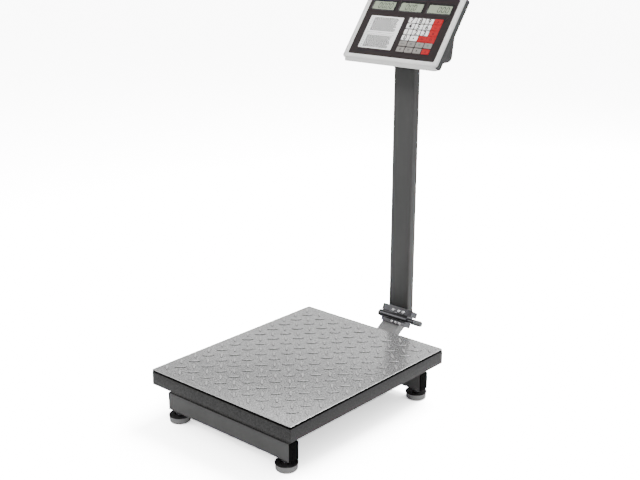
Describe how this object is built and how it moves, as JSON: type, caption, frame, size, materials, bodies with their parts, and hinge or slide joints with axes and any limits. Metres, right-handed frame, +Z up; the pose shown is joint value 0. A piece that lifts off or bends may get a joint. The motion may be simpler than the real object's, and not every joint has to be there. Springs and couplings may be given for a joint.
{
  "type": "platform shipping scale",
  "caption": "Floor platform scale: a treaded weighing platform on levelling feet, with a rear column that folds forward on a hinge and carries a tilting keypad and display head.",
  "frame": {"origin": "on the floor, under the middle of the whole object's outline at rest", "axes": "+X to the user's right, +Y to the back (column side), +Z up"},
  "size_m": [0.4, 0.6582, 0.8754],
  "materials": {
    "painted_base": "dark hammertone paint",
    "pan_paint": "grey hammertone paint on tread sheet",
    "frame_paint": "plain grey primer",
    "column_paint": "charcoal semi-gloss paint",
    "tube_paint": "grey semi-gloss paint",
    "bracket_paint": "black powder coat",
    "chrome": "bright plate",
    "zinc": "zinc plated",
    "cell_alloy": "milled alloy",
    "black_plastic": "black moulded plastic",
    "foot_plastic": "hard rubber pad on a steel stud",
    "grip_rubber": "grey rubber sleeve",
    "cable_rubber": "black sheath",
    "bezel_plastic": "light silver-grey plastic",
    "housing_plastic": "dark grey moulded plastic",
    "panel_film": "dark brown printed film",
    "card_film": "white printed film",
    "window_film": "smoked clear window",
    "board_green": "green circuit board",
    "battery_case": "dark battery case",
    "key_white": "white key",
    "key_red": "red key",
    "key_grey": "grey key"
  },
  "bodies": {
    "base": {"base_frame": "painted_base", "tube_end_caps": "black_plastic", "foot_nuts": "zinc", "load_cell": "cell_alloy", "load_cell_lower_bolts": "zinc", "overload_stop_screws": "zinc", "support_tube": "tube_paint", "hinge_lower_bracket": "chrome", "hinge_lower_bolts": "chrome", "load_cell_cable": "cable_rubber"},
    "platform": {"platform_pan": "pan_paint", "platform_frame": "frame_paint", "pan_pads": "cable_rubber", "load_cell_upper_bolts": "zinc"},
    "foot_fl": {"foot_front_left": "foot_plastic"},
    "foot_fr": {"foot_front_right": "foot_plastic"},
    "foot_rl": {"foot_rear_left": "foot_plastic"},
    "foot_rr": {"foot_rear_right": "foot_plastic"},
    "clamp": {"hinge_pin": "chrome", "clamp_grip": "grip_rubber"},
    "column": {"column_tube": "column_paint", "hinge_upper_bracket": "chrome", "hinge_upper_bolts": "chrome", "column_collar": "black_plastic", "head_bracket": "bracket_paint", "tilt_bolt": "zinc"},
    "knob": {"tilt_knob": "black_plastic"},
    "head": {"head_bezel": "bezel_plastic", "head_rear_housing": "housing_plastic", "face_panel": "panel_film", "instruction_card": "card_film", "display_windows": "window_film", "main_board": "board_green", "battery": "battery_case", "housing_screws": "zinc"},
    "b_key_0": {"key_0": "key_white"},
    "b_key_1": {"key_1": "key_white"},
    "b_key_2": {"key_2": "key_white"},
    "b_key_3": {"key_3": "key_white"},
    "b_key_4": {"key_4": "key_white"},
    "b_key_5": {"key_5": "key_white"},
    "b_key_6": {"key_6": "key_white"},
    "b_key_7": {"key_7": "key_white"},
    "b_key_8": {"key_8": "key_white"},
    "b_key_9": {"key_9": "key_white"},
    "b_key_point": {"key_point": "key_white"},
    "b_key_red_1": {"key_red_1": "key_red"},
    "b_key_red_2": {"key_red_2": "key_red"},
    "b_key_red_3": {"key_red_3": "key_red"},
    "b_key_red_4": {"key_red_4": "key_red"},
    "b_key_red_5": {"key_red_5": "key_red"},
    "b_key_red_6": {"key_red_6": "key_red"},
    "b_key_red_7": {"key_red_7": "key_red"},
    "b_key_grey_1": {"key_grey_1": "key_grey"},
    "b_key_grey_2": {"key_grey_2": "key_grey"},
    "b_key_grey_3": {"key_grey_3": "key_grey"},
    "b_key_grey_4": {"key_grey_4": "key_grey"},
    "b_key_grey_5": {"key_grey_5": "key_grey"},
    "b_key_grey_6": {"key_grey_6": "key_grey"}
  },
  "joints": [
    {"name": "platform_press", "type": "slide", "parent": "base", "child": "platform", "axis": [0, 0, -1], "range_m": [0, 0.0005], "stiffness_N_per_m": 600000, "deforming": ["load_cell"]},
    {"name": "front_left_foot_height", "type": "slide", "parent": "base", "child": "foot_fl", "axis": [0, 0, 1], "range_m": [-0.012, 0.003], "stiffness_N_per_m": 15000},
    {"name": "front_right_foot_height", "type": "slide", "parent": "base", "child": "foot_fr", "axis": [0, 0, 1], "range_m": [-0.012, 0.003], "stiffness_N_per_m": 15000},
    {"name": "rear_left_foot_height", "type": "slide", "parent": "base", "child": "foot_rl", "axis": [0, 0, 1], "range_m": [-0.012, 0.003], "stiffness_N_per_m": 15000},
    {"name": "rear_right_foot_height", "type": "slide", "parent": "base", "child": "foot_rr", "axis": [0, 0, 1], "range_m": [-0.012, 0.003], "stiffness_N_per_m": 15000},
    {"name": "column_fold", "type": "hinge", "parent": "base", "child": "column", "pos_m": [0, 0.24591, 0.123], "axis": [1, 0, 0], "range_deg": [0, 90]},
    {"name": "clamp_turn", "type": "hinge", "parent": "base", "child": "clamp", "pos_m": [0, 0.24591, 0.123], "axis": [1, 0, 0], "range_deg": [-180, 180]},
    {"name": "head_tilt", "type": "hinge", "parent": "column", "child": "head", "pos_m": [0, 0.29091, 0.765], "axis": [1, 0, 0], "range_deg": [-12, 12]},
    {"name": "tilt_knob_turn", "type": "hinge", "parent": "column", "child": "knob", "pos_m": [0.038, 0.29091, 0.765], "axis": [1, 0, 0], "range_deg": [-180, 180]},
    {"name": "key_0_press", "type": "slide", "parent": "head", "child": "b_key_0", "axis": [0, 0.7986, -0.6018], "range_m": [0, 0.0006], "stiffness_N_per_m": 300},
    {"name": "key_1_press", "type": "slide", "parent": "head", "child": "b_key_1", "axis": [0, 0.7986, -0.6018], "range_m": [0, 0.0006], "stiffness_N_per_m": 300},
    {"name": "key_2_press", "type": "slide", "parent": "head", "child": "b_key_2", "axis": [0, 0.7986, -0.6018], "range_m": [0, 0.0006], "stiffness_N_per_m": 300},
    {"name": "key_3_press", "type": "slide", "parent": "head", "child": "b_key_3", "axis": [0, 0.7986, -0.6018], "range_m": [0, 0.0006], "stiffness_N_per_m": 300},
    {"name": "key_4_press", "type": "slide", "parent": "head", "child": "b_key_4", "axis": [0, 0.7986, -0.6018], "range_m": [0, 0.0006], "stiffness_N_per_m": 300},
    {"name": "key_5_press", "type": "slide", "parent": "head", "child": "b_key_5", "axis": [0, 0.7986, -0.6018], "range_m": [0, 0.0006], "stiffness_N_per_m": 300},
    {"name": "key_6_press", "type": "slide", "parent": "head", "child": "b_key_6", "axis": [0, 0.7986, -0.6018], "range_m": [0, 0.0006], "stiffness_N_per_m": 300},
    {"name": "key_7_press", "type": "slide", "parent": "head", "child": "b_key_7", "axis": [0, 0.7986, -0.6018], "range_m": [0, 0.0006], "stiffness_N_per_m": 300},
    {"name": "key_8_press", "type": "slide", "parent": "head", "child": "b_key_8", "axis": [0, 0.7986, -0.6018], "range_m": [0, 0.0006], "stiffness_N_per_m": 300},
    {"name": "key_9_press", "type": "slide", "parent": "head", "child": "b_key_9", "axis": [0, 0.7986, -0.6018], "range_m": [0, 0.0006], "stiffness_N_per_m": 300},
    {"name": "key_point_press", "type": "slide", "parent": "head", "child": "b_key_point", "axis": [0, 0.7986, -0.6018], "range_m": [0, 0.0006], "stiffness_N_per_m": 300},
    {"name": "key_red_1_press", "type": "slide", "parent": "head", "child": "b_key_red_1", "axis": [0, 0.7986, -0.6018], "range_m": [0, 0.0006], "stiffness_N_per_m": 300},
    {"name": "key_red_2_press", "type": "slide", "parent": "head", "child": "b_key_red_2", "axis": [0, 0.7986, -0.6018], "range_m": [0, 0.0006], "stiffness_N_per_m": 300},
    {"name": "key_red_3_press", "type": "slide", "parent": "head", "child": "b_key_red_3", "axis": [0, 0.7986, -0.6018], "range_m": [0, 0.0006], "stiffness_N_per_m": 300},
    {"name": "key_red_4_press", "type": "slide", "parent": "head", "child": "b_key_red_4", "axis": [0, 0.7986, -0.6018], "range_m": [0, 0.0006], "stiffness_N_per_m": 300},
    {"name": "key_red_5_press", "type": "slide", "parent": "head", "child": "b_key_red_5", "axis": [0, 0.7986, -0.6018], "range_m": [0, 0.0006], "stiffness_N_per_m": 300},
    {"name": "key_red_6_press", "type": "slide", "parent": "head", "child": "b_key_red_6", "axis": [0, 0.7986, -0.6018], "range_m": [0, 0.0006], "stiffness_N_per_m": 300},
    {"name": "key_red_7_press", "type": "slide", "parent": "head", "child": "b_key_red_7", "axis": [0, 0.7986, -0.6018], "range_m": [0, 0.0006], "stiffness_N_per_m": 300},
    {"name": "key_grey_1_press", "type": "slide", "parent": "head", "child": "b_key_grey_1", "axis": [0, 0.7986, -0.6018], "range_m": [0, 0.0006], "stiffness_N_per_m": 300},
    {"name": "key_grey_2_press", "type": "slide", "parent": "head", "child": "b_key_grey_2", "axis": [0, 0.7986, -0.6018], "range_m": [0, 0.0006], "stiffness_N_per_m": 300},
    {"name": "key_grey_3_press", "type": "slide", "parent": "head", "child": "b_key_grey_3", "axis": [0, 0.7986, -0.6018], "range_m": [0, 0.0006], "stiffness_N_per_m": 300},
    {"name": "key_grey_4_press", "type": "slide", "parent": "head", "child": "b_key_grey_4", "axis": [0, 0.7986, -0.6018], "range_m": [0, 0.0006], "stiffness_N_per_m": 300},
    {"name": "key_grey_5_press", "type": "slide", "parent": "head", "child": "b_key_grey_5", "axis": [0, 0.7986, -0.6018], "range_m": [0, 0.0006], "stiffness_N_per_m": 300},
    {"name": "key_grey_6_press", "type": "slide", "parent": "head", "child": "b_key_grey_6", "axis": [0, 0.7986, -0.6018], "range_m": [0, 0.0006], "stiffness_N_per_m": 300}
  ]
}
